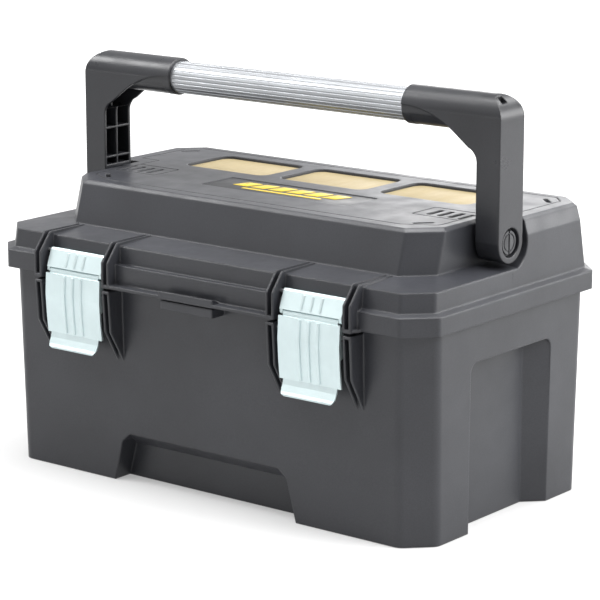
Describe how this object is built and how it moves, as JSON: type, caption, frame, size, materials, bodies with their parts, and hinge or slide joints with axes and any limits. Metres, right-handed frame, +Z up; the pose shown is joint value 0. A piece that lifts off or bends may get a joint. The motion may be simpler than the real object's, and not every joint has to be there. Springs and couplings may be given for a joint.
{
  "type": "toolbox",
  "caption": "Portable plastic toolbox with hinged lid, fold-down tube handle on brackets, draw latches, recessed lid panels and a lift-out tote tray inside",
  "frame": {"origin": "centre of the flat underside of the tub", "axes": "+X to the right along the length, +Y to the back where the lid hinges are, +Z up"},
  "size_m": [0.495, 0.3035, 0.371],
  "materials": {
    "dark_plastic": "fine moulded texture",
    "tray_plastic": "fine moulded texture",
    "tube_metal": "fluted, satin",
    "latch_zinc": "pale zinc plate",
    "pin_steel": "plain",
    "pin_plastic": "satin",
    "badge_plastic": "plain satin badge without lettering",
    "panel_plastic": "smooth"
  },
  "bodies": {
    "tub_body": {"tub": "dark_plastic", "latch_keeper_pin_left": "pin_steel", "latch_keeper_pin_right": "pin_steel", "hinge_pin_left": "pin_steel", "hinge_pin_right": "pin_steel"},
    "tray_body": {"tote_tray": "tray_plastic", "tray_dividers": "tray_plastic", "tray_grip": "tray_plastic"},
    "lid_body": {"lid": "dark_plastic", "badge_plate": "badge_plastic", "window_panel_left": "panel_plastic", "window_panel_centre": "panel_plastic", "window_panel_right": "panel_plastic", "handle_pivot_pin_left": "pin_plastic", "handle_pivot_pin_right": "pin_plastic", "latch_link_pin_left": "pin_steel", "latch_link_pin_right": "pin_steel"},
    "handle_body": {"handle_bracket_left": "dark_plastic", "handle_bracket_right": "dark_plastic", "handle_tube": "tube_metal"},
    "link_body_left": {"latch_link_left": "latch_zinc", "latch_lever_pin_left": "pin_steel"},
    "link_body_right": {"latch_link_right": "latch_zinc", "latch_lever_pin_right": "pin_steel"},
    "lever_body_left": {"latch_lever_left": "latch_zinc"},
    "lever_body_right": {"latch_lever_right": "latch_zinc"}
  },
  "joints": [
    {"name": "lid_hinge", "type": "hinge", "parent": "tub_body", "child": "lid_body", "pos_m": [0, 0.147, 0.187], "axis": [-1, 0, 0], "range_deg": [0, 100]},
    {"name": "handle_fold", "type": "hinge", "parent": "lid_body", "child": "handle_body", "pos_m": [0, 0.0003, 0.2439], "axis": [1, 0, 0], "range_deg": [0, 90]},
    {"name": "tray_lift", "type": "slide", "parent": "tub_body", "child": "tray_body", "axis": [0, 0, 1], "range_m": [0, 0.018]},
    {"name": "link_swing_left", "type": "hinge", "parent": "lid_body", "child": "link_body_left", "pos_m": [-0.1353, -0.1386, 0.2076], "axis": [-1, 0, 0], "range_deg": [0, 60]},
    {"name": "lever_pull_left", "type": "hinge", "parent": "link_body_left", "child": "lever_body_left", "pos_m": [-0.1353, -0.1443, 0.1914], "axis": [-1, 0, 0], "range_deg": [0, 80]},
    {"name": "link_swing_right", "type": "hinge", "parent": "lid_body", "child": "link_body_right", "pos_m": [0.1353, -0.1386, 0.2076], "axis": [-1, 0, 0], "range_deg": [0, 60]},
    {"name": "lever_pull_right", "type": "hinge", "parent": "link_body_right", "child": "lever_body_right", "pos_m": [0.1353, -0.1443, 0.1914], "axis": [-1, 0, 0], "range_deg": [0, 80]}
  ]
}
